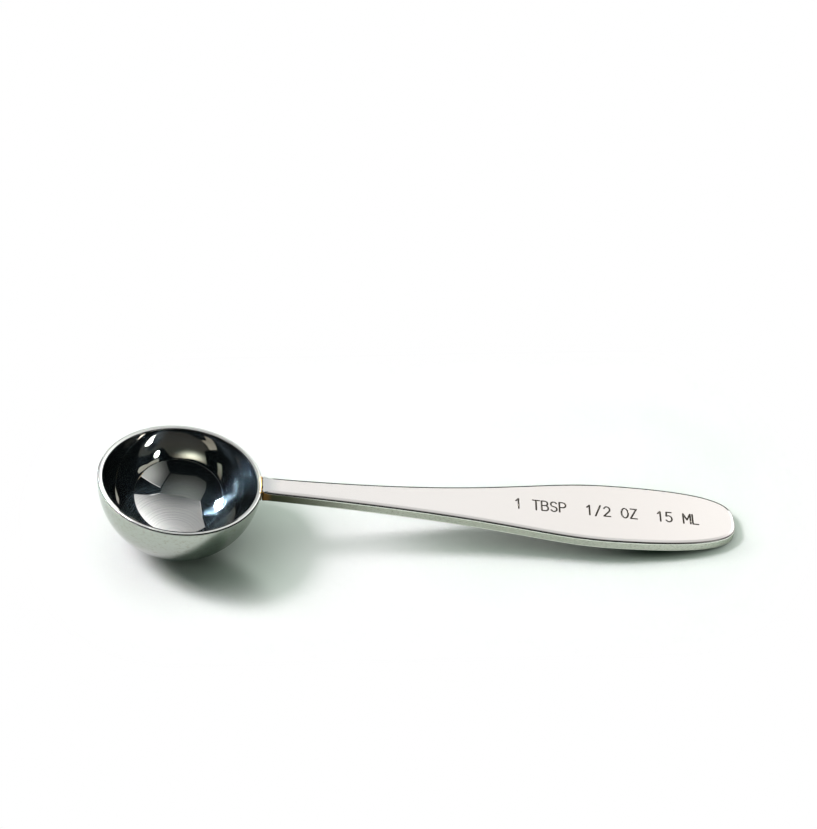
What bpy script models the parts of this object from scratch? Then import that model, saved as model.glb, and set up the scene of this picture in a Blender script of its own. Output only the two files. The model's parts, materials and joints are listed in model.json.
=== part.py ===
# Tea measuring spoon: a pressed hemispherical bowl, a flat bar handle and the weld bead that joins them.
# The pieces are modelled in the spoon's own frame, with the ball centre of the bowl at the origin, the
# rim in the plane z = 0 and the handle along +X. An empty then lays the spoon on the ground, where it
# stands on the round of its bowl and on the tip of its handle. Metres, +Z up.

from math import asin, atan2, cos, hypot, pi, radians, sin

import bmesh
import bpy
from mathutils import Vector

MM = 0.001

# bowl
BOWL_RADIUS = 20.4 * MM
BOWL_WALL = 1.2 * MM
LIP_OUTER_ROUND = 0.45 * MM
LIP_INNER_ROUND = 0.25 * MM

# joint between the bowl and the handle
WELD_CLEARANCE = 0.3 * MM
BEAD_WIDTH = 1.0 * MM
BEAD_PROUD = 0.35 * MM
BEAD_TOP_DROP = 0.15 * MM
BEAD_CORNER_ROUND = 0.9 * MM

# handle, seen from above
HANDLE_LENGTH = 117.9 * MM
NECK_WIDTH = 6.0 * MM
PADDLE_WIDTH = 21.2 * MM
PADDLE_FROM_TIP = 31.6 * MM
NECK_PULL = 58.0 * MM
NECK_FLARE = 0.7 * MM
SHOULDER_PULL = 20.2 * MM
TIP_CORNER_PULL = 31.3 * MM
TIP_PULL = 5.0 * MM

# handle, seen from the side
HANDLE_THICKNESS = 2.9 * MM
HANDLE_EDGE_ROUND = 0.45 * MM
HANDLE_RISE = 0.38 * MM
NECK_DROOP = radians(1.0)
PADDLE_LIFT = radians(1.3)
BEND_LENGTH = 81.0 * MM

# how finely the round shapes are drawn
BOWL_STEPS = 72
BOWL_RINGS = 18
LIP_RINGS = 3
OUTLINE_RESOLUTION = 16
EDGE_RESOLUTION = 1
SLICE_LENGTH = 5.0 * MM
CUTTER_SEGMENTS = 144
MERGE_DISTANCE = 0.002 * MM

# places that follow from the sizes above
BEAD_INNER_RADIUS = BOWL_RADIUS + WELD_CLEARANCE
BEAD_OUTER_RADIUS = BEAD_INNER_RADIUS + BEAD_WIDTH
JOINT_X = BEAD_OUTER_RADIUS + WELD_CLEARANCE
TIP_X = JOINT_X + HANDLE_LENGTH
PADDLE_X = TIP_X - PADDLE_FROM_TIP


def clear_scene():
    for scene_object in list(bpy.data.objects):
        bpy.data.objects.remove(scene_object, do_unlink=True)


def make_collection(name):
    collection = bpy.data.collections.new(name)
    bpy.context.scene.collection.children.link(collection)
    return collection


def make_metal(name, color, roughness):
    material = bpy.data.materials.new(name)
    material.use_nodes = True
    shader = material.node_tree.nodes["Principled BSDF"]
    shader.inputs["Base Color"].default_value = (*color, 1.0)
    shader.inputs["Metallic"].default_value = 1.0
    shader.inputs["Roughness"].default_value = roughness
    return material


def add_object(name, mesh, collection, parent):
    new_object = bpy.data.objects.new(name, mesh)
    collection.objects.link(new_object)
    new_object.parent = parent
    return new_object


def add_cutter(name, collection, parent):
    # takes the primitive that was just added as a cutting tool
    cutter = bpy.context.active_object
    cutter.name = name
    for holder in list(cutter.users_collection):
        holder.objects.unlink(cutter)
    collection.objects.link(cutter)
    cutter.parent = parent
    cutter.hide_render = True
    cutter.display_type = "WIRE"
    return cutter


def add_boolean(target, cutter, operation):
    boolean = target.modifiers.new(cutter.name, "BOOLEAN")
    boolean.operation = operation
    boolean.object = cutter
    boolean.solver = "EXACT"


def smooth(mesh, sharp_angle):
    mesh.shade_smooth()
    mesh.set_sharp_from_angle(angle=sharp_angle)


def arc(centre, radius, start, end, steps):
    # points from start to end, both angles measured from +X towards +Z
    points = []
    for step in range(steps + 1):
        angle = start + (end - start) * step / steps
        points.append((centre[0] + radius * cos(angle), centre[1] + radius * sin(angle)))
    return points


def bowl_profile():
    # half section: up the inside from the bottom, over the lip and down the outside
    inner_radius = BOWL_RADIUS - BOWL_WALL
    inner_turn = (inner_radius + LIP_INNER_ROUND, -LIP_INNER_ROUND)
    outer_turn = (BOWL_RADIUS - LIP_OUTER_ROUND, -LIP_OUTER_ROUND)
    inner_start = -asin(LIP_INNER_ROUND / inner_radius)
    outer_start = -asin(LIP_OUTER_ROUND / BOWL_RADIUS)
    points = arc((0.0, 0.0), inner_radius, -pi / 2, inner_start, BOWL_RINGS)
    points += arc(inner_turn, LIP_INNER_ROUND, pi, pi / 2, LIP_RINGS)[1:]
    points += arc(outer_turn, LIP_OUTER_ROUND, pi / 2, 0.0, LIP_RINGS)[:-1]
    points += arc((0.0, 0.0), BOWL_RADIUS, outer_start, -pi / 2, BOWL_RINGS)
    return points


def make_bowl(collection, parent, metal):
    mesh = bpy.data.meshes.new("bowl")
    profile = bmesh.new()
    vertices = [profile.verts.new((x, 0.0, z)) for x, z in bowl_profile()]
    # both ends of the profile lie on the axis
    vertices[0].co.x = 0.0
    vertices[-1].co.x = 0.0
    for lower, upper in zip(vertices, vertices[1:]):
        profile.edges.new((lower, upper))
    profile.to_mesh(mesh)
    profile.free()
    bowl = add_object("bowl", mesh, collection, parent)
    mesh.materials.append(metal)
    screw = bowl.modifiers.new("turn", "SCREW")
    screw.axis = "Z"
    screw.steps = BOWL_STEPS
    screw.render_steps = BOWL_STEPS
    screw.use_merge_vertices = True
    screw.merge_threshold = MERGE_DISTANCE
    screw.use_smooth_shade = True
    return bowl


def camber(x):
    # height of the handle's top above its height at the joint: the neck droops, then curves up to the flat paddle
    distance = x - JOINT_X
    bent = min(max(distance, 0.0), BEND_LENGTH)
    straight = max(distance - BEND_LENGTH, 0.0)
    bend = NECK_DROOP + PADDLE_LIFT
    return bend * (bent * bent / (2 * BEND_LENGTH) + straight) - NECK_DROOP * distance


def handle_outline():
    # the plan as a closed curve: each point with its two curve handles, in order round the handle
    neck = NECK_WIDTH / 2
    paddle = PADDLE_WIDTH / 2
    # the neck starts inside the joint, where the round cutter shapes its end
    start = BOWL_RADIUS - BOWL_WALL
    neck_pull = NECK_PULL * (PADDLE_X - start) / (PADDLE_X - JOINT_X)
    right = [
        ((start, neck), (start, 0.0), (start + neck_pull, neck + NECK_FLARE)),
        ((PADDLE_X, paddle), (PADDLE_X - SHOULDER_PULL, paddle), (PADDLE_X + TIP_CORNER_PULL, paddle)),
    ]
    tip = [((TIP_X, 0.0), (TIP_X, TIP_PULL), (TIP_X, -TIP_PULL))]
    left = []
    for point, before, after in reversed(right):
        mirrored = [(x, -y) for x, y in (point, after, before)]
        left.append(tuple(mirrored))
    return right + tip + left


def make_handle(collection, parent, metal, end_cutter):
    curve = bpy.data.curves.new("handle_outline", "CURVE")
    curve.dimensions = "2D"
    curve.fill_mode = "BOTH"
    curve.resolution_u = OUTLINE_RESOLUTION
    curve.extrude = HANDLE_THICKNESS / 2 - HANDLE_EDGE_ROUND
    curve.bevel_depth = HANDLE_EDGE_ROUND
    curve.bevel_resolution = EDGE_RESOLUTION
    curve.offset = -HANDLE_EDGE_ROUND
    spline = curve.splines.new("BEZIER")
    outline = handle_outline()
    spline.bezier_points.add(len(outline) - 1)
    for place, (point, before, after) in zip(spline.bezier_points, outline):
        place.handle_left_type = "FREE"
        place.handle_right_type = "FREE"
        place.co = (*point, 0.0)
        place.handle_left = (*before, 0.0)
        place.handle_right = (*after, 0.0)
    spline.use_cyclic_u = True
    blank = bpy.data.objects.new("handle_outline", curve)
    collection.objects.link(blank)

    evaluated = blank.evaluated_get(bpy.context.evaluated_depsgraph_get())
    mesh = bpy.data.meshes.new_from_object(evaluated)
    mesh.name = "handle"
    bpy.data.objects.remove(blank, do_unlink=True)
    body = bmesh.new()
    body.from_mesh(mesh)
    bmesh.ops.remove_doubles(body, verts=body.verts, dist=MERGE_DISTANCE)
    # sliced across every few millimetres, so that the flat blank can take the bend
    slices = int(HANDLE_LENGTH / SLICE_LENGTH)
    for index in range(1, slices):
        bmesh.ops.bisect_plane(
            body,
            geom=body.verts[:] + body.edges[:] + body.faces[:],
            plane_co=(JOINT_X + HANDLE_LENGTH * index / slices, 0.0, 0.0),
            plane_no=(1.0, 0.0, 0.0),
            dist=MERGE_DISTANCE,
        )
    for vertex in body.verts:
        vertex.co.z += HANDLE_RISE - HANDLE_THICKNESS / 2 + camber(vertex.co.x)
    bmesh.ops.recalc_face_normals(body, faces=body.faces)
    body.to_mesh(mesh)
    body.free()
    mesh.materials.clear()
    mesh.materials.append(metal)
    smooth(mesh, radians(35))
    handle = add_object("handle", mesh, collection, parent)
    add_boolean(handle, end_cutter, "DIFFERENCE")
    return handle


def make_weld_bead(collection, parent, metal, ball_cutter, face_cutter):
    # a rounded block through the joint, of which only the ring between the two cutters is left
    top = HANDLE_RISE - BEAD_TOP_DROP
    bottom = HANDLE_RISE - HANDLE_THICKNESS - BEAD_PROUD
    low = Vector((BOWL_RADIUS - BOWL_WALL, -NECK_WIDTH / 2 - BEAD_PROUD, bottom))
    high = Vector((JOINT_X + BEAD_WIDTH, NECK_WIDTH / 2 + BEAD_PROUD, top))
    block = bmesh.new()
    bmesh.ops.create_cube(block, size=1.0)
    bmesh.ops.scale(block, vec=high - low, verts=block.verts)
    bmesh.ops.translate(block, vec=(low + high) / 2, verts=block.verts)
    mesh = bpy.data.meshes.new("weld_bead")
    block.to_mesh(mesh)
    block.free()
    mesh.materials.append(metal)
    bead = add_object("weld_bead", mesh, collection, parent)
    corners = bead.modifiers.new("rounded_corners", "BEVEL")
    corners.width = BEAD_CORNER_ROUND
    corners.segments = 3
    add_boolean(bead, ball_cutter, "DIFFERENCE")
    add_boolean(bead, face_cutter, "INTERSECT")
    return bead


def make_cutters(collection, parent):
    # the ball clears the bowl's wall, and the two upright cylinders shape the bead's face and the handle's end
    bpy.ops.mesh.primitive_uv_sphere_add(
        segments=CUTTER_SEGMENTS, ring_count=CUTTER_SEGMENTS // 2, radius=BEAD_INNER_RADIUS
    )
    ball = add_cutter("bowl_clearance_cutter", collection, parent)
    height = 4 * HANDLE_THICKNESS
    bpy.ops.mesh.primitive_cylinder_add(vertices=CUTTER_SEGMENTS, radius=BEAD_OUTER_RADIUS, depth=height)
    face = add_cutter("bead_face_cutter", collection, parent)
    bpy.ops.mesh.primitive_cylinder_add(vertices=CUTTER_SEGMENTS, radius=JOINT_X, depth=height)
    end = add_cutter("handle_end_cutter", collection, parent)
    return ball, face, end


def rest_pose():
    # the spoon leans on the ball of the bowl and on the lower edge of the handle's tip
    tip_top = HANDLE_RISE + camber(TIP_X)
    edge_x = TIP_X - HANDLE_EDGE_ROUND
    lower_edge_z = tip_top - HANDLE_THICKNESS + HANDLE_EDGE_ROUND
    reach = hypot(edge_x, lower_edge_z)
    tilt = asin((BOWL_RADIUS - HANDLE_EDGE_ROUND) / reach) + atan2(lower_edge_z, edge_x)
    upper_edge_z = tip_top - HANDLE_EDGE_ROUND
    far_end = edge_x * cos(tilt) + upper_edge_z * sin(tilt) + HANDLE_EDGE_ROUND
    pose = bpy.data.objects.new("rest_pose", None)
    bpy.context.scene.collection.objects.link(pose)
    pose.location = ((BOWL_RADIUS - far_end) / 2, 0.0, BOWL_RADIUS)
    pose.rotation_euler = (0.0, tilt, 0.0)
    return pose


def build():
    clear_scene()
    parts = make_collection("tea_measuring_spoon")
    cutters = make_collection("cutters")
    pose = rest_pose()
    ball_cutter, face_cutter, end_cutter = make_cutters(cutters, pose)
    polished_steel = make_metal("polished_steel", (0.62, 0.61, 0.58), 0.12)
    satin_steel = make_metal("satin_steel", (0.64, 0.62, 0.60), 0.26)
    weld_steel = make_metal("heat_tinted_weld", (0.36, 0.25, 0.13), 0.38)
    make_bowl(parts, pose, polished_steel)
    make_handle(parts, pose, satin_steel, end_cutter)
    make_weld_bead(parts, pose, weld_steel, ball_cutter, face_cutter)


build()
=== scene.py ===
# Tea measuring spoon: the looks of its bowl, handle and weld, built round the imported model.
import json
from math import asin, atan2, cos, degrees, pi, radians, sin, sqrt, tan

import bmesh
import bpy
from mathutils import Matrix, Vector


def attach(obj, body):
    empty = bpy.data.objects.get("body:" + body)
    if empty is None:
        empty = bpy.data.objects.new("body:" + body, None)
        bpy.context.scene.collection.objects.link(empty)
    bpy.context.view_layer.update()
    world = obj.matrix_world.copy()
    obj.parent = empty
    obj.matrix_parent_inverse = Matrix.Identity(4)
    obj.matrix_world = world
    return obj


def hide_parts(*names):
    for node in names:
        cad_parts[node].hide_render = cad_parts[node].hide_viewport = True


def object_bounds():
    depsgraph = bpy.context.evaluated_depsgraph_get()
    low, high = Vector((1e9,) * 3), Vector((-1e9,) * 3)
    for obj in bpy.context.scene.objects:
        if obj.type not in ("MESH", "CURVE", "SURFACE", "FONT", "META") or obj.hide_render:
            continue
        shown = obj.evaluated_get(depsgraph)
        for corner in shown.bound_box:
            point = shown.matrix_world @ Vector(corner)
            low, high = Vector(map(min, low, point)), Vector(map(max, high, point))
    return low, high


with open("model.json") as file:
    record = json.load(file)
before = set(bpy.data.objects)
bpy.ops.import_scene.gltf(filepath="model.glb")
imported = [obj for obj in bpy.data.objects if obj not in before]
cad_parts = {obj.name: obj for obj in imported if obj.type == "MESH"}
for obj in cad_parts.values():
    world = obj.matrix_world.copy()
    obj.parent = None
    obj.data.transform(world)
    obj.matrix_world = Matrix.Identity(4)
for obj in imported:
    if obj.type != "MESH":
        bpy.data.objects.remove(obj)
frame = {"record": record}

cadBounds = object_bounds()
mm = 0.001
mergeDistance = 0.002 * mm

# the spoon's own frame: ball centre of the bowl at the origin, rim in z = 0, handle along +X
bowlShape = {
    "radius": 20.4 * mm,
    "wall": 1.2 * mm,
    "lipOuterRound": 0.45 * mm,
    "lipInnerRound": 0.25 * mm,
    "lipFacet": 0.47 * mm,
    "lipFacetSlope": 16,    # degrees
    "lipFacetRound": 0.15 * mm,
    "lipSupport": 0.04 * mm,
    "turnSteps": 256,
    "wallRings": 72,
    "lipRings": 8,
    "sharpAngle": 60,
}
rimMount = next(mount for mount in frame["record"]["mounts"] if mount["name"] == "rim_face")
rimNormal = Vector(rimMount["axis"]).normalized()
tilt = atan2(rimNormal.x, rimNormal.z)
lipInset = (bowlShape["wall"] + bowlShape["lipOuterRound"] - bowlShape["lipInnerRound"]) / 2
lipMiddle = bowlShape["radius"] - lipInset
ballCentre = Vector(rimMount["pos_m"]) + Vector((cos(tilt), 0, -sin(tilt))) * lipMiddle
spoonFrame = Matrix.Translation(ballCentre) @ Matrix.Rotation(tilt, 4, "Y")
print("frame: ball centre", [round(value / mm, 2) for value in ballCentre], "mm")


# Node maths: a wrapped socket takes part in Python expressions
class Wire:
    def __init__(self, graph, socket):
        self.graph = graph
        self.socket = socket

    def maths(self, operation, *others):
        values = dict(enumerate((self, *others)))
        return self.graph.node("ShaderNodeMath", {"operation": operation}, values)

    def __add__(self, other):
        return self.maths("ADD", other)

    def __sub__(self, other):
        return self.maths("SUBTRACT", other)

    def __mul__(self, other):
        return self.maths("MULTIPLY", other)

    def __truediv__(self, other):
        return self.maths("DIVIDE", other)

    def __pow__(self, other):
        return self.maths("POWER", other)

    def __rsub__(self, other):
        return self * -1 + other

    def __neg__(self):
        return self * -1

    def clipped(self):
        return self.graph.node("ShaderNodeClamp", {}, {"Value": self})

    def part(self, axis):
        return self.graph.node("ShaderNodeSeparateXYZ", {}, {"Vector": self}, axis)

    # smooth step from 0 at low to 1 at high
    def step(self, low, high):
        settings = {"interpolation_type": "SMOOTHSTEP"}
        values = {"Value": self, "From Min": low, "From Max": high}
        return self.graph.node("ShaderNodeMapRange", settings, values)

    # straight line from low at 0 to high at 1
    def span(self, low, high):
        return self * (high - low) + low


# the Mix node's colour sockets go by number, because others have the same names
mixSockets = {"first": 6, "second": 7, "result": 2}


class Graph:
    def __init__(self, tree):
        self.tree = tree
        tree.nodes.clear()

    def node(self, kind, settings, values, output=0):
        made = self.tree.nodes.new(kind)
        for name, value in settings.items():
            setattr(made, name, value)
        for name, value in values.items():
            socket = made.inputs[name]
            if isinstance(value, Wire):
                self.tree.links.new(value.socket, socket)
            else:
                socket.default_value = value
        return Wire(self, made.outputs[output]) if len(made.outputs) else None

    # Object coordinates turned into the spoon's own frame
    def place(self):
        raw = self.node("ShaderNodeTexCoord", {}, {}, "Object")
        turned = {"Vector": raw, "Location": ballCentre, "Rotation": (0, tilt, 0)}
        return self.node("ShaderNodeMapping", {"vector_type": "TEXTURE"}, turned)

    def vectorMaths(self, operation, *vectors, output=0):
        settings = {"operation": operation}
        return self.node("ShaderNodeVectorMath", settings, dict(enumerate(vectors)), output)

    def stretch(self, vector, scale):
        return self.vectorMaths("MULTIPLY", vector, scale)

    def reach(self, place):
        return self.vectorMaths("LENGTH", place, output="Value")

    # 1 where the surface lies in the rim's plane, 0 where it stands square to it
    def facing(self):
        normal = self.node("ShaderNodeNewGeometry", {}, {}, "Normal")
        return self.vectorMaths("DOT_PRODUCT", normal, rimNormal, output="Value").maths("ABSOLUTE")

    def ray(self, kind):
        return self.node("ShaderNodeLightPath", {}, {}, kind)

    def noise(self, vector, size, detail, roughness):
        values = {"Vector": vector, "Scale": 1 / size, "Detail": detail, "Roughness": roughness}
        return self.node("ShaderNodeTexNoise", {}, values, "Fac")

    def blend(self, share, first, second):
        values = {"Factor": share, mixSockets["first"]: first, mixSockets["second"]: second}
        return self.node("ShaderNodeMix", {"data_type": "RGBA"}, values, mixSockets["result"])

    def bump(self, height, distance, strength):
        values = {"Height": height, "Distance": distance, "Strength": strength}
        return self.node("ShaderNodeBump", {}, values)

    def principled(self, values):
        return self.node("ShaderNodeBsdfPrincipled", {}, values)

    def metal(self, values):
        return self.principled({"Metallic": 1.0, **values})

    def glow(self, tone, strength):
        return self.node("ShaderNodeEmission", {}, {"Color": tone, "Strength": strength})

    def mixShaders(self, share, first, second):
        return self.node("ShaderNodeMixShader", {}, {0: share, 1: first, 2: second})

    def finish(self, shader, kind="ShaderNodeOutputMaterial"):
        self.node(kind, {}, {"Surface": shader})


def newMaterial(name):
    material = bpy.data.materials.new(name)
    material.use_nodes = True
    return material, Graph(material.node_tree)


def color(red, green, blue):
    return (red, green, blue, 1.0)


# Polished steel of the bowl
polish = {
    # a pair says where a change begins and where it ends: heights over the rim's plane and reaches
    # from the ball's centre in mm, facings from 0 for upright to 1 for flat
    "floorTone": color(0.64, 0.635, 0.62),
    "wallTone": color(0.475, 0.495, 0.46),
    "brimShadeTone": color(0.25, 0.235, 0.215),
    "lipTone": color(0.65, 0.66, 0.65),
    "lipEdgeShadeTone": color(0.05, 0.05, 0.05),
    "shadeTone": color(0.05, 0.05, 0.046),
    "scuffTone": color(0.30, 0.26, 0.18),
    "brushedTone": color(0.43, 0.58, 0.72),
    "outsideReach": (19.3, 19.7),
    "wallHeight": (-12.5, -8.0),
    "brimHeight": (-8.5, -1.5),
    "innerShadeHeight": (-1.3, -0.7),
    "outerShadeHeight": (-0.65, -0.5),
    "outerShadeEnd": (-0.45, -0.4),
    "outerShade": 0.4,
    "lipHeight": (-0.6, -0.5),
    "darkFacing": (0.12, 0.25),
    "darkFacingEnd": (0.77, 0.83),
    "flatFacing": (0.86, 0.90),
    "mattFacingEnd": (0.93, 0.965),
    "roughness": 0.006,
    "smudges": 0.02,
    "smudgeSize": 6 * mm,
    "smudgeDepth": 0.004 * mm,
    "smudgeBump": 0.5,
    "lipEdgeRoughness": 0.7,
    "lipRoundRoughness": 0.34,
    "scuffSize": 1.1 * mm,
    "scuffStretch": (1.0, 1.0, 2.0),
    "scuffNoise": (0.50, 0.66),
    "scuffs": 0.45,
    "lineWidth": 0.32 * mm,
    "lineStretch": 3.0,
    "lineNoise": (0.42, 0.68),
    "lineContrast": (0.15, 1.95),
    "outsideLines": 0.3,
    "deepEndHeight": (-15.0, -12.0),
    "brushedShare": 0.016,
    "brushedLow": 0.14,
    "brushedRoughness": 0.36,
    "anisotropy": 0.95,
    "lineTurn": 0.21,
}


def makePolishedSteel():
    material, graph = newMaterial("polishedSteel")
    place = graph.place()
    reach = graph.reach(place)
    height = place.part("Z")
    level = height / mm
    # circular polishing lines follow the latitude on the ball
    latitude = (height / reach).maths("ARCSINE") * bowlShape["radius"]
    ring = graph.node("ShaderNodeCombineXYZ", {}, {"X": latitude, "Y": reach * polish["lineStretch"]})
    lines = graph.noise(ring, polish["lineWidth"], detail=3.0, roughness=0.7)
    smudge = graph.noise(place, polish["smudgeSize"], detail=3.0, roughness=0.6)
    # the steel is lighter at the bottom of the ball than on its walls, and painted shade darkens the
    # inner brim so that what it mirrors there reads darker
    inside = 1 - (reach / mm).step(*polish["outsideReach"])
    low = 1 - level.step(*polish["wallHeight"])
    high = level.step(*polish["brimHeight"]) * inside
    tone = graph.blend(low, polish["wallTone"], polish["floorTone"])
    tone = graph.blend(high, tone, polish["brimShadeTone"])
    # handling left scuffs on the outside
    stretched = graph.stretch(place, polish["scuffStretch"])
    scuffs = graph.noise(stretched, polish["scuffSize"], detail=4.0, roughness=0.7)
    scuffs = scuffs.step(*polish["scuffNoise"]) * (1 - inside) * polish["scuffs"]
    tone = graph.blend(scuffs, tone, polish["scuffTone"])
    # painted shade: dark lines run just under the lip, inside and outside
    inner = inside * level.step(*polish["innerShadeHeight"])
    outer = level.step(*polish["outerShadeHeight"]) * (1 - level.step(*polish["outerShadeEnd"]))
    outer = (1 - inside) * outer * polish["outerShade"]
    tone = graph.blend(inner + outer, tone, polish["shadeTone"])
    # the two roundings of the lip are matt and painted dark as shade, its flat is polished
    lip = level.step(*polish["lipHeight"])
    facing = graph.facing()
    shadedMattEdges = lip * facing.step(*polish["darkFacing"]) * (1 - facing.step(*polish["darkFacingEnd"]))
    rounding = lip * (1 - facing.step(*polish["mattFacingEnd"]))
    tone = graph.blend(lip * facing.step(*polish["flatFacing"]), tone, polish["lipTone"])
    tone = graph.blend(shadedMattEdges, tone, polish["lipEdgeShadeTone"])
    rough = smudge * polish["smudges"] + shadedMattEdges * polish["lipEdgeRoughness"] + polish["roughness"]
    rough = rough + rounding * polish["lipRoundRoughness"]
    relief = graph.bump(smudge, polish["smudgeDepth"], polish["smudgeBump"])
    mirror = graph.metal({"Base Color": tone, "Roughness": rough, "Normal": relief})
    brushed = graph.metal({
        "Base Color": polish["brushedTone"],
        "Roughness": polish["brushedRoughness"],
        "Anisotropic": polish["anisotropy"],
        "Anisotropic Rotation": polish["lineTurn"],
    })
    # the lines show most at the bottom of the bowl, and not at all on the lip
    deep = 1 - level.step(*polish["deepEndHeight"])
    share = lines.step(*polish["lineNoise"]).span(*polish["lineContrast"]) * (1 - lip)
    share = share * inside.span(polish["outsideLines"], 1.0)
    share = share * deep.span(polish["brushedShare"], polish["brushedLow"])
    graph.finish(graph.mixShaders(share, mirror, brushed))
    return material


# Satin steel of the handle
satin = {
    # fades run along the handle, in mm from the ball's centre
    "tone": color(0.65, 0.63, 0.62),
    "paddleShadeTone": color(0.575, 0.548, 0.533),
    "endShadeAndPitTone": color(0.46, 0.475, 0.48),
    "sideTone": color(0.44, 0.455, 0.39),
    "paddleSide": color(0.64, 0.655, 0.58),
    "facetHighlightTone": color(0.82, 0.80, 0.785),
    "sideHighlightTone": color(0.93, 0.94, 0.88),
    "darkSide": color(0.055, 0.058, 0.032),
    "burntSide": color(0.20, 0.10, 0.03),
    "paddleShadeFade": (30.0, 125.0),
    "endShadeFade": (20.5, 25.5),
    "paddleSideFade": (90.0, 135.0),
    "sideShadeFade": (20.0, 56.0),
    "burntSideFade": (21.0, 23.2),
    "sideHighlightFade": (26.0, 42.0),
    "facetHighlightFade": (115.0, 136.0),
    "facetAtTip": 0.2,
    "topFacing": (0.25, 0.38),
    "flatFacing": (0.96, 0.995),
    "sideHighlightFacing": (0.03, 0.08),
    "facetFacing": (0.90, 0.94),
    "facetFacingEnd": (0.97, 0.99),
    "mottleSize": 9 * mm,
    "grainSize": 0.2 * mm,
    "grainStretch": (0.3, 1.0, 1.0),
    "grainNoise": (0.45, 0.75),
    "grain": 0.4,
    "grainDepth": 0.004 * mm,
    "grainBump": (0.05, 0.85),
    "pitSize": 0.7 * mm,
    "pitNoise": (0.70, 0.78),
    "pits": 0.35,
    "topRoughness": 0.13,
    "mottle": 0.06,
    "edgeRoughness": 0.07,
    "sideRoughness": 0.36,
}


def makeSatinSteel():
    material, graph = newMaterial("satinSteel")
    place = graph.place()
    along = place.part("X") / mm
    facing = graph.facing()
    side = 1 - facing.step(*satin["topFacing"])
    flat = facing.step(*satin["flatFacing"])
    mottle = graph.noise(place, satin["mottleSize"], detail=4.0, roughness=0.6)
    stretched = graph.stretch(place, satin["grainStretch"])
    grain = graph.noise(stretched, satin["grainSize"], detail=2.0, roughness=0.6)
    pits = graph.noise(place, satin["pitSize"], detail=2.0, roughness=0.5)
    # the sheared sides are duller than the faces, and painted shade darkens them from the paddle
    # towards the neck
    sideTone = graph.blend(along.step(*satin["paddleSideFade"]), satin["sideTone"], satin["paddleSide"])
    sideTone = graph.blend(1 - along.step(*satin["sideShadeFade"]), sideTone, satin["darkSide"])
    dull = grain.step(*satin["grainNoise"]) * satin["grain"]
    sideTone = graph.blend(dull, sideTone, satin["darkSide"])
    # a painted highlight runs along the upper corner of the side
    sideHighlight = facing.step(*satin["sideHighlightFacing"]) * along.step(*satin["sideHighlightFade"])
    sideTone = graph.blend(sideHighlight, sideTone, satin["sideHighlightTone"])
    # heat tint browns the sides right next to the weld
    sideTone = graph.blend(1 - along.step(*satin["burntSideFade"]), sideTone, satin["burntSide"])
    # painted shade darkens the top towards the paddle
    topTone = graph.blend(along.step(*satin["paddleShadeFade"]), satin["tone"], satin["paddleShadeTone"])
    # painted shade darkens the top next to the weld, and the pits share its tone
    topTone = graph.blend(1 - along.step(*satin["endShadeFade"]), topTone, satin["endShadeAndPitTone"])
    topTone = graph.blend(pits.step(*satin["pitNoise"]) * satin["pits"], topTone, satin["endShadeAndPitTone"])
    # painted highlight: the top's slight facets are lighter, less so at the tip
    facet = facing.step(*satin["facetFacing"]) * (1 - facing.step(*satin["facetFacingEnd"]))
    facet = facet * along.step(*satin["facetHighlightFade"]).span(1.0, satin["facetAtTip"])
    topTone = graph.blend(facet, topTone, satin["facetHighlightTone"])
    tone = graph.blend(side, topTone, sideTone)
    rough = flat.span(satin["edgeRoughness"], satin["topRoughness"]) + flat * mottle * satin["mottle"]
    rough = rough + side * (satin["sideRoughness"] - satin["edgeRoughness"])
    relief = graph.bump(grain, satin["grainDepth"], side.span(*satin["grainBump"]))
    graph.finish(graph.metal({"Base Color": tone, "Roughness": rough, "Normal": relief}))
    return material


# Dark fill of the stamped marking
fill = {
    "tones": (color(0.020, 0.016, 0.013), color(0.075, 0.062, 0.050)),
    "speckSize": 0.5 * mm,
    "roughness": 0.7,
    "specular": 0.15,
}


def makeMarkingFill():
    material, graph = newMaterial("markingFill")
    speck = graph.noise(graph.place(), fill["speckSize"], detail=3.0, roughness=0.6)
    graph.finish(graph.principled({
        "Base Color": graph.blend(speck, *fill["tones"]),
        "Roughness": fill["roughness"],
        "Specular IOR Level": fill["specular"],
    }))
    return material


# Weld metal: gold where it meets the bowl, with a row of burnt brown ripples at the handle
tint = {
    "gold": color(0.60, 0.36, 0.13),
    "straw": color(0.58, 0.47, 0.31),
    "burnt": color(0.045, 0.022, 0.010),
    "speckSize": 0.55 * mm,
    "rippleSize": 0.32 * mm,
    "strawNoise": (0.3, 0.7),
    "burntNoise": (0.38, 0.52),
    "roughness": (0.35, 0.55),
}


def makeHeatTint():
    material, graph = newMaterial("heatTintedWeld")
    place = graph.place()
    speck = graph.noise(place, tint["speckSize"], detail=3.0, roughness=0.6)
    ripple = graph.noise(place, tint["rippleSize"], detail=1.0, roughness=0.5)
    row = (graph.reach(place) / mm).step(weldShape["goldEdge"] / mm, weldShape["burntEdge"] / mm)
    gold = graph.blend(speck.step(*tint["strawNoise"]), tint["gold"], tint["straw"])
    tone = graph.blend(row * ripple.step(*tint["burntNoise"]), gold, tint["burnt"])
    graph.finish(graph.metal({"Base Color": tone, "Roughness": speck.span(*tint["roughness"])}))
    return material


# the bead fills the joint from the bowl's wall to the handle's end, measured from the ball's centre
weldShape = {
    "bowlSide": 19.95 * mm,
    "handleSide": 20.42 * mm,
    "goldRow": 20.08 * mm,
    "burntRow": 20.36 * mm,
    "goldEdge": 20.10 * mm,
    "burntEdge": 20.22 * mm,
    "goldStep": 0.4 * mm,
    "burntStep": 0.5 * mm,
    "rippleRadius": 0.24 * mm,
    "rippleSize": (0.85, 1.2),
    "rippleFineness": 3,
    "seed": 4,
    "rowInset": 0.08 * mm,
    "coreOverlap": 0.15 * mm,
    "coreInset": 0.05 * mm,
    "cornerSteps": 4,
    "voxel": 0.05 * mm,
    "sharpAngle": 180,    # smooth all over
}

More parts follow.
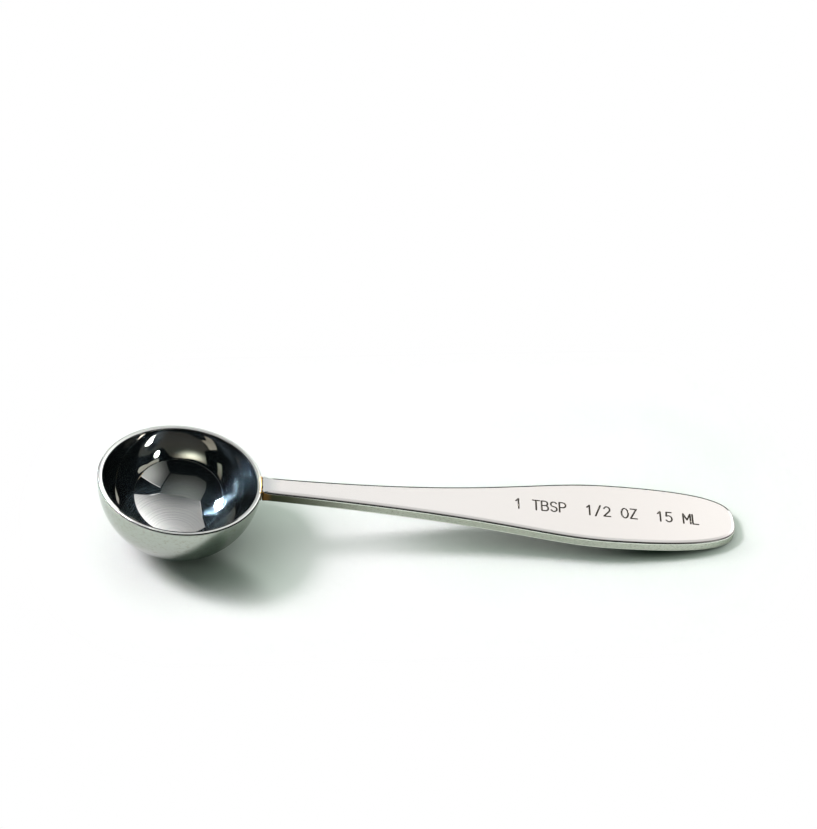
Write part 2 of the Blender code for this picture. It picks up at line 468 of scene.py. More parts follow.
polishedSteel = makePolishedSteel()
satinSteel = makeSatinSteel()
markingFill = makeMarkingFill()
heatTint = makeHeatTint()
print("materials made")


# Helpers that turn outlines and trees into finished pieces
def addObject(name, data):
    made = bpy.data.objects.new(name, data)
    bpy.context.scene.collection.objects.link(made)
    return made


def takeMesh(helper, name):
    # the evaluated shape of a helper object, which is then removed
    shown = helper.evaluated_get(bpy.context.evaluated_depsgraph_get())
    mesh = bpy.data.meshes.new_from_object(shown)
    mesh.name = name
    bpy.data.objects.remove(helper)
    return mesh


def bodyMesh(name, body):
    mesh = bpy.data.meshes.new(name)
    body.to_mesh(mesh)
    body.free()
    return mesh


def finishPiece(name, mesh, materials, node, slot, sharp):
    # places the mesh in the row's frame and lets it stand for its CAD node
    mesh.transform(spoonFrame)
    if mesh.materials:
        mesh.materials.clear()
    for material in materials:
        mesh.materials.append(material)
    mesh.shade_smooth()
    mesh.set_sharp_from_angle(angle=radians(sharp))
    piece = addObject(name, mesh)
    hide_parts(node)
    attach(piece, "root")
    print(name, len(mesh.polygons), "faces")


def arcPoints(centre, radius, start, end, steps):
    angles = [radians(start + (end - start) * step / steps) for step in range(steps + 1)]
    return [(centre[0] + radius * cos(angle), centre[1] + radius * sin(angle)) for angle in angles]


def polyCurve(name, points, cyclic=False):
    curve = bpy.data.curves.new(name, "CURVE")
    curve.dimensions = "3D"
    spline = curve.splines.new("POLY")
    spline.points.add(len(points) - 1)
    for place, point in zip(spline.points, points):
        place.co = (*point, 1.0)
    spline.use_cyclic_u = cyclic
    return curve


def newTree(name, sizes):
    # a Geometry Nodes tree that takes a drawn curve, with a named input for each of its sizes
    tree = bpy.data.node_groups.new(name, "GeometryNodeTree")
    inputs = {"Drawn": "NodeSocketGeometry", **sizes}
    for socket, kind in inputs.items():
        tree.interface.new_socket(socket, in_out="INPUT", socket_type=kind)
    tree.interface.new_socket("Made", in_out="OUTPUT", socket_type="NodeSocketGeometry")
    graph = Graph(tree)
    return graph, [graph.node("NodeGroupInput", {}, {}, socket) for socket in inputs]


def finishTree(graph, faces, material):
    solid = graph.node("GeometryNodeRealizeInstances", {}, {"Geometry": faces})
    painted = graph.node("GeometryNodeSetMaterial", {}, {"Geometry": solid, "Material": material})
    graph.node("NodeGroupOutput", {}, {"Made": painted})
    return graph.tree


def treeMesh(name, curve, tree, sizes):
    # what a tree makes of a curve
    drawn = addObject(curve.name, curve)
    modifier = drawn.modifiers.new(tree.name, "NODES")
    modifier.node_group = tree
    for item in tree.interface.items_tree:
        if item.in_out == "INPUT" and item.name in sizes:
            modifier[item.identifier] = sizes[item.name]
    return takeMesh(drawn, name)


# across a facet, from its foot to its head, the lines that keep it flat
facetLines = (0.1, 0.9, 1.0)


# Bowl: a profile turned about the ball's axis with Geometry Nodes
def bowlProfile():
    # inside of the ball, then over the lip with a slight facet on its inner half, then the outside
    shape = bowlShape
    inside = shape["radius"] - shape["wall"]
    corner, slope, support = shape["lipFacetRound"], shape["lipFacetSlope"], shape["lipSupport"]
    facetFoot = inside + corner * (1 - sin(radians(slope)))
    facetHead = facetFoot + shape["lipFacet"]
    fall = shape["lipFacet"] * tan(radians(slope))
    innerTurn = (inside + corner, -fall - corner * cos(radians(slope)))
    outerTurn = (shape["radius"] - shape["lipOuterRound"], -shape["lipOuterRound"])
    innerStart = degrees(asin(innerTurn[1] / inside))
    outerStart = degrees(asin(outerTurn[1] / shape["radius"]))
    points = arcPoints((0, 0), inside, -90, innerStart, shape["wallRings"])
    points += arcPoints(innerTurn, corner, 180, 90 + slope, shape["lipRings"])[1:]
    points += [(facetFoot + shape["lipFacet"] * share, -fall * (1 - share)) for share in facetLines]
    points += [(facetHead + support, 0.0), (outerTurn[0] - support, 0.0)]
    points += arcPoints(outerTurn, shape["lipOuterRound"], 90, 0, shape["lipRings"])
    points += arcPoints((0, 0), shape["radius"], outerStart, -90, shape["wallRings"])[1:]
    return points


def turnTree(material):
    graph, (profile, steps) = newTree("turnedProfile", {"Steps": "NodeSocketInt"})
    # the profile is swept round a circle as wide as the bowl, so it is drawn from that circle
    path = {"Radius": bowlShape["radius"], "Resolution": steps}
    circle = graph.node("GeometryNodeCurvePrimitiveCircle", {}, path)
    swept = graph.node("GeometryNodeCurveToMesh", {}, {"Curve": circle, "Profile Curve": profile})
    closing = {"Geometry": swept, "Distance": mergeDistance}
    closed = graph.node("GeometryNodeMergeByDistance", {}, closing)
    return finishTree(graph, closed, material)


def makeBowl():
    points = [(radius - bowlShape["radius"], -height, 0.0) for radius, height in bowlProfile()]
    profile = polyCurve("bowlProfile", points)
    mesh = treeMesh("bowl", profile, turnTree(polishedSteel), {"Steps": bowlShape["turnSteps"]})
    body = bmesh.new()
    body.from_mesh(mesh)
    bmesh.ops.remove_doubles(body, verts=body.verts, dist=mergeDistance)
    bmesh.ops.recalc_face_normals(body, faces=body.faces)
    body.to_mesh(mesh)
    body.free()
    finish = ("bowl", "polished_steel", bowlShape["sharpAngle"])
    finishPiece("measuringBowl", mesh, [polishedSteel], *finish)


makeBowl()


# Handle: rings of one outline, drawn in towards the flat faces, then bent in side view
handleShape = {
    "start": 20.42 * mm,
    "joint": 22.0 * mm,
    "tip": 139.9 * mm,
    "neckWidth": 6.0 * mm,
    "paddleWidth": 21.2 * mm,
    "paddleFromTip": 31.6 * mm,
    "neckPull": 60.4 * mm,
    "neckFlare": 0.7 * mm,
    "shoulderPull": 20.2 * mm,
    "tipCornerPull": 31.3 * mm,
    "tipPull": 5.0 * mm,
    "curveStart": 19.2 * mm,
    "thickness": 2.9 * mm,
    "edgeRound": 0.45 * mm,
    "facetWidth": 0.5 * mm,
    "facetSlope": radians(16),
    "facetRound": 0.6 * mm,
    "endCorner": 0.5 * mm,
    "endRamp": 1.6 * mm,
    "cornerSteps": 4,
    "mitreLimit": 0.5,
    "rise": 0.38 * mm,
    "neckDroop": radians(1.0),
    "paddleLift": radians(1.3),
    "bendLength": 81.0 * mm,
    "neckSteps": 70,
    "tipSteps": 60,
    "edgeSteps": 8,
    "supportStrip": 0.10 * mm,
    "sharpAngle": 30,
}


def camber(x):
    # a droop at the neck, an even bend, then straight to the tip
    shape = handleShape
    distance = x - shape["joint"]
    bent = min(max(distance, 0.0), shape["bendLength"])
    straight = max(distance - shape["bendLength"], 0.0)
    bend = shape["neckDroop"] + shape["paddleLift"]
    lift = bend * (bent * bent / (2 * shape["bendLength"]) + straight)
    return lift - shape["neckDroop"] * distance


def topHeight(x):
    return handleShape["rise"] + camber(x)


def bezierPoints(corners, steps):
    points = []
    for step in range(steps + 1):
        share = step / steps
        rest = 1 - share
        weights = (rest ** 3, 3 * share * rest ** 2, 3 * share ** 2 * rest, share ** 3)
        pulls = (Vector(corner) * weight for corner, weight in zip(corners, weights))
        points.append(sum(pulls, Vector((0, 0))))
    return points


def halfOutline():
    # from the joint's middle round the far side to the tip
    shape = handleShape
    neck = shape["neckWidth"] / 2
    paddle = shape["paddleWidth"] / 2
    widest = shape["tip"] - shape["paddleFromTip"]
    neckCurve = [
        (shape["curveStart"], neck),
        (shape["curveStart"] + shape["neckPull"], neck + shape["neckFlare"]),
        (widest - shape["shoulderPull"], paddle),
        (widest, paddle),
    ]
    tipCurve = [
        (widest, paddle),
        (widest + shape["tipCornerPull"], paddle),
        (shape["tip"], shape["tipPull"]),
        (shape["tip"], 0.0),
    ]
    corner = shape["endCorner"]
    side = bezierPoints(neckCurve, shape["neckSteps"])
    side = [point for point in side if point.x > shape["start"] + corner]
    turnCentre = (shape["start"] + corner, neck - corner)
    turn = arcPoints(turnCentre, corner, 180, 90, shape["cornerSteps"])
    end = [Vector((shape["start"], 0.0))] + [Vector(point) for point in turn]
    tip = bezierPoints(tipCurve, shape["tipSteps"])[1:]
    return end + side + tip


def insetRing(outline, inset):
    # the closed outline moved inwards along its own normals
    count = len(outline)
    ring = []
    for index, point in enumerate(outline):
        before, after = outline[index - 1], outline[(index + 1) % count]
        arriving = (point - before).normalized()
        leaving = (after - point).normalized()
        along = (arriving + leaving).normalized()
        stretch = 1 / max(along.dot(leaving), handleShape["mitreLimit"])
        # next to the weld the end stays square
        share = min(1.0, max(0.0, (point.x - handleShape["start"]) / handleShape["endRamp"]))
        ring.append(point + Vector((along.y, -along.x)) * inset * stretch * share)
    return ring


def edgeLevels():
    # inset and depth of each ring: a slight facet and a round above, a plain round below
    shape = handleShape
    strip, slope, thickness = shape["supportStrip"], shape["facetSlope"], shape["thickness"]
    top, bottom = [], []
    for step in range(shape["edgeSteps"] + 1):
        turn = slope + (pi / 2 - slope) * step / shape["edgeSteps"]
        across = shape["facetRound"] * (1 - sin(turn))
        top.append((across, shape["facetRound"] * (cos(slope) - cos(turn))))
    outer = top[0][0]
    fall = shape["facetWidth"] * tan(slope)
    inner = outer + shape["facetWidth"]
    lines = reversed(facetLines)
    facet = [(outer + (inner - outer) * share, fall * (1 - share)) for share in lines]
    top = [(inner + strip, 0.0)] + facet + [(across, fall + depth) for across, depth in top]
    top.append((0.0, top[-1][1] + strip))
    for step in range(shape["edgeSteps"] + 1):
        turn = pi / 2 * step / shape["edgeSteps"]
        across = shape["edgeRound"] * (1 - cos(turn))
        bottom.append((across, thickness - shape["edgeRound"] * (1 - sin(turn))))
    return top + [(0.0, bottom[0][1] - strip)] + bottom + [(bottom[-1][0] + strip, thickness)]


def bridge(body, upper, lower):
    # a band of faces between two closed rings
    count = len(upper)
    for index in range(count):
        after = (index + 1) % count
        body.faces.new((upper[index], upper[after], lower[after], lower[index]))


def addBar(body):
    half = halfOutline()
    outline = half + [Vector((point.x, -point.y)) for point in reversed(half[1:-1])]
    rings = []
    for inset, depth in edgeLevels():
        ring = insetRing(outline, inset)
        places = [(point.x, point.y, topHeight(point.x) - depth) for point in ring]
        rings.append([body.verts.new(place) for place in places])
    for upper, lower in zip(rings, rings[1:]):
        bridge(body, upper, lower)
    # the flat faces are ladders between the two sides, which meet in one corner at each end
    count = len(outline)
    for ring in (rings[0], rings[-1]):
        for index in range(len(half) - 1):
            far, farNext = ring[index], ring[index + 1]
            near, nearNext = ring[-index % count], ring[-(index + 1) % count]
            body.faces.new(list(dict.fromkeys((far, farNext, nearNext, near))))


# Capacity marking: single strokes, stamped into the paddle and filled dark, level with its face
marking = {
    "text": "1 TBSP  1/2 OZ  15 ML",
    "start": (84.6 * mm, -0.85 * mm),
    "end": (129.6 * mm, -2.45 * mm),
    "capHeight": 3.55 * mm,
    "letterWidth": 0.74,
    "letterMiddle": 0.32,
    "strokeWidth": 0.46 * mm,
    "strokeRounding": 2,
    "strokeEnd": (0.4, 0.7, 0.9, 0.98),
    "sharpTurn": 50,
    "fillDepth": 0.06 * mm,
}


def letterArc(x, y, width, height, start, end, steps=10):
    turn = arcPoints((0, 0), 1.0, start, end, steps)
    return [(x + width * across, y + height * up) for across, up in turn]


# strokes of each letter in a cell one cap height tall
letterStrokes = {
    "1": [[(0.1, 0.78), (0.34, 1.0), (0.34, 0.0)]],
    "2": [letterArc(0.3, 0.71, 0.28, 0.29, 160, -38) + [(0.0, 0.0), (0.6, 0.0)]],
    "5": [[(0.55, 1.0), (0.1, 1.0), (0.06, 0.58)] + letterArc(0.29, 0.32, 0.3, 0.32, 120, -150)],
    "B": [
        [(0.0, 0.53), (0.0, 1.0)] + letterArc(0.34, 0.765, 0.23, 0.235, 90, -90) + [(0.0, 0.53)],
        [(0.0, 0.53)] + letterArc(0.36, 0.265, 0.26, 0.265, 90, -90) + [(0.0, 0.0), (0.0, 0.53)],
    ],
    "L": [[(0.04, 1.0), (0.04, 0.0), (0.56, 0.0)]],
    "M": [[(0.0, 0.0), (0.0, 1.0), (0.34, 0.38), (0.68, 1.0), (0.68, 0.0)]],
    "O": [letterArc(0.32, 0.5, 0.32, 0.5, 90, 450, 24)],
    "P": [[(0.0, 0.0), (0.0, 1.0)] + letterArc(0.34, 0.74, 0.26, 0.26, 90, -90) + [(0.0, 0.48)]],
    "S": [
        letterArc(0.31, 0.75, 0.28, 0.25, 25, 270) + letterArc(0.31, 0.25, 0.29, 0.25, 90, -155)[1:],
    ],
    "T": [[(0.0, 1.0), (0.64, 1.0)], [(0.32, 1.0), (0.32, 0.0)]],
    "Z": [[(0.04, 1.0), (0.6, 1.0), (0.0, 0.0), (0.62, 0.0)]],
    "/": [[(0.04, -0.06), (0.54, 1.06)]],
}


def straightRuns(stroke):
    # a stroke is cut at its sharp turns, so that it keeps its width there
    corners = [Vector(point) for point in stroke]
    runs, run = [], [corners[0]]
    for before, corner, after in zip(corners, corners[1:], corners[2:]):
        run.append(corner)
        if (corner - before).angle(after - corner) > radians(marking["sharpTurn"]):
            runs.append(run)
            run = [corner]
    return runs + [run + [corners[-1]]]


def roundEnd(end, inner):
    # points that run on past the end of a stroke, with the stroke's narrowing radius
    onward = (end - inner).normalized() * (marking["strokeWidth"] / 2)
    return [(end + onward * share, sqrt(1 - share * share)) for share in marking["strokeEnd"]]


def addStroke(curve, spots):
    points = roundEnd(spots[0], spots[1])[::-1] + [(spot, 1.0) for spot in spots]
    points += roundEnd(spots[-1], spots[-2])
    spline = curve.splines.new("POLY")
    spline.points.add(len(points) - 1)
    for place, (spot, radius) in zip(spline.points, points):
        place.co = (spot.x, spot.y, 0.0, 1.0)
        place.radius = radius


def markingCurve():
    start, end = Vector(marking["start"]), Vector(marking["end"])
    along = (end - start).normalized()
    across = Vector((-along.y, along.x))
    pitch = (end - start).length / (len(marking["text"]) - 1)
    curve = bpy.data.curves.new("marking", "CURVE")
    curve.dimensions = "3D"
    curve.bevel_depth = marking["strokeWidth"] / 2
    curve.bevel_resolution = marking["strokeRounding"]
    curve.use_fill_caps = True
    for index, letter in enumerate(marking["text"]):
        strokes = letterStrokes.get(letter, [])
        for run in [run for stroke in strokes for run in straightRuns(stroke)]:
            spots = []
            for x, y in run:
                side = (x - marking["letterMiddle"]) * marking["letterWidth"] * marking["capHeight"]
                foot = start + along * (index * pitch + side)
                spots.append(foot + across * y * marking["capHeight"])
            addStroke(curve, spots)
    return curve


def addMarking(body):
    # each stroke is a flattened shell whose upper side lies just over the paddle's face
    mesh = takeMesh(addObject("marking", markingCurve()), "marking")
    first = len(body.verts)
    body.from_mesh(mesh)
    body.verts.ensure_lookup_table()
    for vertex in body.verts[first:]:
        flat = vertex.co.z * marking["fillDepth"] / marking["strokeWidth"]
        vertex.co.z = topHeight(vertex.co.x) + flat
        for face in vertex.link_faces:
            face.material_index = 1


def makeHandle():
    body = bmesh.new()
    addBar(body)
    addMarking(body)
    bmesh.ops.recalc_face_normals(body, faces=body.faces)
    finish = ("handle", "satin_steel", handleShape["sharpAngle"])
    finishPiece("barHandle", bodyMesh("handle", body), [satinSteel, markingFill], *finish)


makeHandle()


# Weld bead: a core with two rows of ripples round the joint, fused into one skin
def jointPoint(y, z, reach):
    return Vector((sqrt(reach ** 2 - y ** 2 - min(z, 0.0) ** 2), y, z))


def jointSection(margin):
    # the handle's end section, as (y, z) pairs, grown by the margin
    corner = handleShape["edgeRound"]
    side = handleShape["neckWidth"] / 2 + margin - corner
    top = topHeight(handleShape["joint"]) + margin - corner
    bottom = topHeight(handleShape["joint"]) - handleShape["thickness"] - margin + corner
    points = []
    for quarter, centre in enumerate(((side, top), (-side, top), (-side, bottom), (side, bottom))):
        start = 90 * quarter
        points += arcPoints(centre, corner, start, start + 90, weldShape["cornerSteps"])
    return points


def rippleTree(material):
    sizes = {"Step": "NodeSocketFloat", "Radius": "NodeSocketFloat"}
    graph, (path, step, radius) = newTree("weldRipples", sizes)
    spacing = {"Curve": path, "Length": step}
    spread = graph.node("GeometryNodeResampleCurve", {"mode": "LENGTH"}, spacing)
    ball = {"Subdivisions": weldShape["rippleFineness"], "Radius": radius}
    ripple = graph.node("GeometryNodeMeshIcoSphere", {}, ball)
    # the random number's own limits are sockets 2 and 3, and its result is socket 1
    least, most = weldShape["rippleSize"]
    limits = {2: least, 3: most, "Seed": weldShape["seed"]}
    size = graph.node("FunctionNodeRandomValue", {}, limits, 1)
    row = {"Points": spread, "Instance": ripple, "Scale": size}
    ripples = graph.node("GeometryNodeInstanceOnPoints", {}, row)
    return finishTree(graph, ripples, material)


def makeWeld():
    shape = weldShape
    body = bmesh.new()
    # core between the bowl's wall and the handle's end
    bowlEnd = (shape["bowlSide"], 0.0)
    handleEnd = (shape["handleSide"] + shape["coreOverlap"], -shape["coreInset"])
    rings = []
    for reach, margin in (bowlEnd, handleEnd):
        rings.append([body.verts.new(jointPoint(y, z, reach)) for y, z in jointSection(margin)])
    bridge(body, *rings)
    for ring in rings:
        body.faces.new(ring)
    tree = rippleTree(heatTint)
    for row in ("gold", "burnt"):
        section = jointSection(-shape["rowInset"])
        path = polyCurve("weldPath", [jointPoint(y, z, shape[row + "Row"]) for y, z in section], True)
        sizes = {"Step": shape[row + "Step"], "Radius": shape["rippleRadius"]}
        body.from_mesh(treeMesh("weldRipples", path, tree, sizes))
    bmesh.ops.recalc_face_normals(body, faces=body.faces)
    blank = addObject("weldBlank", bodyMesh("weldBlank", body))
    fuse = blank.modifiers.new("fuse", "REMESH")
    fuse.mode = "VOXEL"
    fuse.voxel_size = shape["voxel"]
    finish = ("weld_bead", "heat_tinted_weld", shape["sharpAngle"])
    finishPiece("weldSeam", takeMesh(blank, "weldBead"), [heatTint], *finish)


makeWeld()


# Floor, studio and lamps
floorLook = {
    "size": 8.0,
    "tone": color(0.875, 0.89, 0.885),
    "deepTone": color(0.0, 0.045, 0.015),
    "roughness": 0.9,
    "whiteMiddle": 14 * mm,
    "whiteFrom": 27 * mm,
    "whiteTo": 59 * mm,
    "endsWhiter": 1.9,
}

# Soft oval patches of the floor: deeper shadow, or open white
floorPatches = {
    # in mm from the point under the ball's centre, and crisper with a higher edge
    "umbra": {
        "middle": (4.3, -11.9), "reach": (19.1, 7.7), "turn": -36, "amount": 0.64, "edge": 2.5,
    },
    "underTip": {
        "middle": (118.8, -7.3), "reach": (14.8, 4.1), "turn": 2, "amount": 0.96, "edge": 1.0,
    },
    "mirrored": {
        "middle": (9.0, -8.5), "reach": (26.0, 12.5), "turn": -35, "amount": 0.46, "edge": 2.0,
    },
    "open": {
        "middle": (48.2, -29.4), "reach": (29.9, 16.1), "turn": -81, "amount": 0.97, "edge": 1.0,
    },
}


def ovalPatch(place, look):
    turn = radians(look["turn"])
    x = (place.part("X") - ballCentre.x) / mm - look["middle"][0]
    y = (place.part("Y") - ballCentre.y) / mm - look["middle"][1]
    long = (x * cos(turn) + y * sin(turn)) / look["reach"][0]
    short = (y * cos(turn) - x * sin(turn)) / look["reach"][1]
    return (-((long * long + short * short) ** look["edge"])).maths("EXPONENT") * look["amount"]


def makeFloor():
    body = bmesh.new()
    bmesh.ops.create_grid(body, x_segments=2, y_segments=2, size=floorLook["size"] / 2)
    floor = addObject("floor", bodyMesh("floor", body))
    material, graph = newMaterial("paleFloor")
    place = graph.node("ShaderNodeTexCoord", {}, {}, "Object")
    seen = graph.ray("Is Camera Ray")
    mirrored = graph.ray("Is Glossy Ray")
    lit = 1 - ovalPatch(place, floorPatches["umbra"]) * (seen + mirrored)
    lit = lit * (1 - ovalPatch(place, floorPatches["underTip"]) * seen)
    lit = lit * (1 - ovalPatch(place, floorPatches["mirrored"]) * mirrored)
    tone = graph.blend(1 - lit, floorLook["tone"], floorLook["deepTone"])
    paper = graph.principled({"Base Color": tone, "Roughness": floorLook["roughness"]})
    # to the camera the paper turns white away from the spoon and its shadow
    reach = (cadBounds[1][0] - cadBounds[0][0]) / 2 - bowlShape["radius"]
    beyond = (place.part("X").maths("ABSOLUTE") - reach).maths("MAXIMUM", 0.0)
    across = place.part("Y") - floorLook["whiteMiddle"]
    away = (beyond * beyond * floorLook["endsWhiter"] + across * across).maths("SQRT")
    share = (away / mm).step(floorLook["whiteFrom"] / mm, floorLook["whiteTo"] / mm)
    share = 1 - (1 - share) * (1 - ovalPatch(place, floorPatches["open"]))
    graph.finish(graph.mixShaders(share * seen, paper, graph.glow(color(1, 1, 1), 1.0)))
    floor.data.materials.append(material)


def direction(azimuth, elevation):
    # azimuth from +X towards +Y
    turn, rise = radians(azimuth), radians(elevation)
    return Vector((cos(turn) * cos(rise), sin(turn) * cos(rise), sin(rise)))


# Cards that the polished steel mirrors
studioDistance = 2.4
studioDome = {"segments": 48, "rings": 24, "foot": -0.01}
betweenBounces = 1.5    # ray depth: 1 after one mirroring, 2 after two


def discCorners(azimuth, elevation, width, height, steps=24):
    turns = [2 * pi * step / steps for step in range(steps)]
    return [(azimuth + width * cos(turn), elevation + height * sin(turn)) for turn in turns]


studioCards = {
    # corners are (azimuth, elevation) seen from the bowl, and a card with an aim glows most there
    # and fades over its spread, all in degrees. Steel that mirrors steel, high up in the bowl, has
    # cards of its own, with bounce 2, because the real bowl bends those reflections.
    "darkStudio": {"distance": 3.9, "tone": color(0.75, 0.9, 1.0), "base": 0.004},
    "topPanel": {
        "corners": [
            (203, 63), (146, 59), (126, 45), (118, 30), (104, 21), (82, 17), (60, 12),
            (40, 12), (20, 14), (5, 19), (358, 28), (348, 39), (329, 49), (310, 60), (270, 68),
        ],
        "tone": color(1.0, 1.0, 0.985),
        "aim": (48.6, 18.6),
        "spread": 32.0,
        "falloff": 1.8,
        "base": 0.49,
        "peak": 2.02,
        "frontLoss": 0.945,
        "bounce": 1,
    },
    "frontFlap": {
        "corners": [
            (203, 63), (216, 45), (223, 37), (245, 35), (270, 36),
            (290, 31), (310, 42), (329, 49), (310, 60), (270, 68),
        ],
        "tone": color(0.95, 1.0, 0.93),
        "aim": (250, 85),
        "spread": 36.0,
        "falloff": 2.5,
        "base": 0.012,
        "peak": 0.28,
        "bounce": 1,
    },
    "sideCard": {
        "corners": [(320, 44), (339, 11), (315, 7), (294, 10), (292, 30)],
        "tone": color(0.97, 1.0, 0.97),
        "aim": (334, 12),
        "spread": 27.0,
        "falloff": 2.4,
        "base": 0.01,
        "peak": 0.68,
        "bounce": 1,
    },
    "keyGlow": {
        "corners": discCorners(170, 37.5, 8, 6.5),
        "tone": color(0.97, 0.99, 1.0),
        "base": 700.0,
        "bounce": 1,
    },
    "secondKey": {
        "corners": discCorners(158, 46, 8, 8),
        "distance": 2.3,
        "tone": color(0.97, 0.99, 1.0),
        "base": 60.0,
        "bounce": 2,
    },
    "secondGlint": {
        "corners": [(259, 55), (240, 56.5), (226, 60), (226, 64), (248, 61.5), (260, 57.5)],
        "distance": 2.3,
        "tone": color(0.97, 0.99, 1.0),
        "base": 60.0,
        "bounce": 2,
    },
    # keeps the glint's light off the near wall of the bowl
    "glintStop": {
        "corners": [(198, 58.5), (220, 57.5), (252, 60.5), (252, 66.5), (222, 69.5), (198, 67)],
        "distance": 80 * mm,
        "tone": color(0.6, 0.8, 1.0),
        "base": 0.05,
        "bounce": 2,
    },
    "secondPanel": {
        "corners": [
            (150, 60), (126, 45), (118, 30), (104, 21), (82, 19), (60, 18.5), (40, 17.5), (20, 17),
            (21, 30), (18, 47), (345, 52), (335, 72), (270, 72), (262, 52), (235, 50), (205, 50),
            (186, 50),
        ],
        "tone": color(1.0, 0.985, 0.90),
        "base": 0.14,
        "peak": 7.4,
        "band": (62, 27, 24, 12),
        "bounce": 2,
    },
    "secondPatch": {
        "corners": [(354, 51), (345, 67), (322, 61), (300, 59), (296, 53), (322, 51)],
        "distance": 2.38,
        "tone": color(1.0, 0.97, 0.86),
        "base": 1.25,
        "bounce": 2,
    },
    "secondSide": {
        "corners": [(332, 37), (347, 35), (347, 18), (333, 17)],
        "tone": color(1.0, 0.97, 0.88),
        "base": 0.9,
        "bounce": 2,
    },
    "secondCorner": {
        "corners": [
            (148, 24), (150, 33), (165, 34), (183, 34), (212, 38.5), (217, 36), (212, 32), (185, 25),
        ],
        "tone": color(1.0, 1.0, 0.97),
        "base": 2.2,
        "bounce": 2,
    },
    "rightRim": {
        "corners": [
            (5, 19), (358, 28), (348, 39), (329, 49), (330.2, 50.2), (349.5, 40), (359.5, 28.6),
            (6.6, 19.3),
        ],
        "distance": 2.39,
        "tone": color(1.0, 1.0, 1.0),
        "base": 1.6,
        "bounce": 1,
    },
    "panelRim": {
        "corners": [(203, 63), (146, 59), (126, 45), (127.5, 45), (147.5, 60.2), (202, 64.5)],
        "distance": 2.39,
        "tone": color(1.0, 1.0, 1.0),
        "base": 1.3,
        "bounce": 1,
    },
    "sideRim": {
        "corners": [(320, 44), (339, 11), (337.8, 10.6), (319, 43)],
        "distance": 2.39,
        "tone": color(1.0, 1.0, 1.0),
        "base": 1.2,
        "bounce": 1,
    },
}


def glowMaterial(name, look):
    material, graph = newMaterial(name)
    # the cards are sampled as lamps, so that brushed steel catches them without grain
    material.cycles.emission_sampling = "FRONT_BACK"
    raw = graph.node("ShaderNodeTexCoord", {}, {}, "Object")
    seen = graph.vectorMaths("NORMALIZE", graph.vectorMaths("SUBTRACT", raw, ballCentre))
    strength = look["base"]
    if "aim" in look:
        close = graph.vectorMaths("DOT_PRODUCT", seen, direction(*look["aim"]), output="Value")
        away = close.maths("ARCCOSINE") / radians(look["spread"])
        strength = (-(away ** look["falloff"])).maths("EXPONENT") * look["peak"] + look["base"]
    if "frontLoss" in look:
        strength = strength + seen.part("Y").maths("MINIMUM", 0.0) * look["frontLoss"]
    if "band" in look:
        azimuth, azimuthSpread, elevation, elevationSpread = map(radians, look["band"])
        turn = (seen.part("Y").maths("ARCTAN2", seen.part("X")) - azimuth) / azimuthSpread
        rise = (seen.part("Z").maths("ARCSINE") - elevation) / elevationSpread
        bright = (-(turn * turn + rise * rise)).maths("EXPONENT")
        strength = bright * look["peak"] + look["base"]
    # what the steel throws on the floor comes from the lamps alone
    shown = 1 - graph.ray("Diffuse Depth").clipped()
    shader = graph.glow(look["tone"], shown * strength)
    if "bounce" in look:
        # seen after one mirroring or after two, and otherwise clear
        later = graph.ray("Ray Depth").maths("GREATER_THAN", betweenBounces)
        clear = graph.node("ShaderNodeBsdfTransparent", {}, {})
        first, second = (shader, clear) if look["bounce"] == 1 else (clear, shader)
        shader = graph.mixShaders(later, first, second)
    graph.finish(shader)
    return material


def mirrorOnly(card):
    # only the steel's reflections show the cards
    card.visible_camera = False
    card.visible_diffuse = False
    card.visible_shadow = False
    card.visible_transmission = False


def makeStudio():
    for name, look in studioCards.items():
        body = bmesh.new()
        distance = look.get("distance", studioDistance)
        if "corners" in look:
            places = [direction(*corner) * distance for corner in look["corners"]]
            body.faces.new([body.verts.new(place) for place in places])
        else:
            # a dome that stands on the floor
            fineness = {"u_segments": studioDome["segments"], "v_segments": studioDome["rings"]}
            bmesh.ops.create_uvsphere(body, **fineness, radius=distance)
            low = [vertex for vertex in body.verts if vertex.co.z < studioDome["foot"]]
            bmesh.ops.delete(body, geom=low, context="VERTS")
        bmesh.ops.translate(body, vec=ballCentre, verts=body.verts)
        card = addObject(name, bodyMesh(name, body))
        card.data.materials.append(glowMaterial(name, look))
        mirrorOnly(card)


lamps = {
    "keyLamp": {
        "azimuth": 163,
        "elevation": 48,
        "distance": 2.5,
        "size": 0.66,
        "power": 41.0,
        "tone": (1.0, 0.92, 0.985),
    },
}


def makeLamps():
    for name, look in lamps.items():
        data = bpy.data.lights.new(name, "AREA")
        data.shape = "DISK"
        data.size = look["size"]
        data.energy = look["power"]
        data.color = look["tone"]
        lamp = addObject(name, data)
        aim = direction(look["azimuth"], look["elevation"])
        lamp.location = ballCentre + aim * look["distance"]
        lamp.rotation_mode = "QUATERNION"
        lamp.rotation_quaternion = aim.to_track_quat("Z", "Y")
        # the steel mirrors the cards in place of the lamps
        lamp.visible_glossy = False


airLook = {"tone": color(0.84, 1.0, 0.86), "overhead": 1.24, "fromBehind": 0.3}


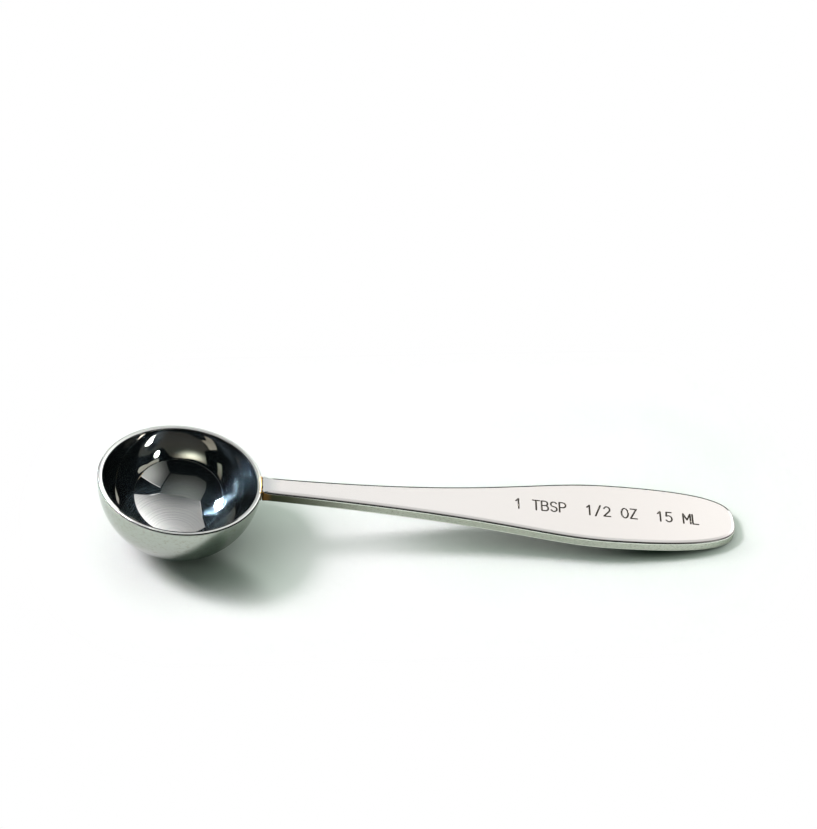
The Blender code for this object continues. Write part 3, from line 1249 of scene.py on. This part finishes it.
def makeWorld():
    world = bpy.data.worlds.new("studioAir")
    world.use_nodes = True
    bpy.context.scene.world = world
    graph = Graph(world.node_tree)
    kinds = ("Is Camera Ray", "Is Glossy Ray", "Is Transmission Ray")
    camera, glossy, through = (graph.ray(kind) for kind in kinds)
    seen = (camera + glossy + through).clipped()
    # the air is bright overhead and dim near the horizon
    way = graph.node("ShaderNodeTexCoord", {}, {}, "Generated")
    rise = way.part("Z").maths("MAXIMUM", 0.0)
    strength = rise * rise * (way.part("Y") * airLook["fromBehind"] + 1) * airLook["overhead"]
    air = graph.node("ShaderNodeBackground", {}, {"Color": airLook["tone"], "Strength": strength})
    backdrop = graph.node("ShaderNodeBackground", {}, {"Color": color(1, 1, 1), "Strength": 1.0})
    graph.finish(graph.mixShaders(seen, air, backdrop), "ShaderNodeOutputWorld")


# Camera: where the photograph was taken from
cameraPlace = {
    "target": (-1.81 * mm, 32.54 * mm, 12.46 * mm),
    "azimuth": -1.91,
    "elevation": 39.79,
    "roll": 0.16,
    "distance": 673.0 * mm,
    "focalPixels": 2600.0,
    "sensorWidth": 36.0,
    "clip": (0.01, 20.0),
}
photoHeight = 829


def makeCamera():
    data = bpy.data.cameras.new("photoCamera")
    data.sensor_width = cameraPlace["sensorWidth"]
    # the frame is taller than wide, so the sensor's long side spans its height
    data.lens = cameraPlace["focalPixels"] * data.sensor_width / photoHeight
    data.clip_start, data.clip_end = cameraPlace["clip"]
    camera = addObject("photoCamera", data)
    back = direction(cameraPlace["azimuth"] - 90, cameraPlace["elevation"])
    camera.location = Vector(cameraPlace["target"]) + back * cameraPlace["distance"]
    roll = Matrix.Rotation(radians(cameraPlace["roll"]), 4, "Z")
    turn = back.to_track_quat("Z", "Y").to_matrix().to_4x4() @ roll
    camera.rotation_mode = "QUATERNION"
    camera.rotation_quaternion = turn.to_quaternion()
    bpy.context.scene.camera = camera


makeFloor()
makeStudio()
makeLamps()
makeWorld()
makeCamera()
bpy.context.scene.view_settings.view_transform = "Standard"
print("stage, lamps and camera made")
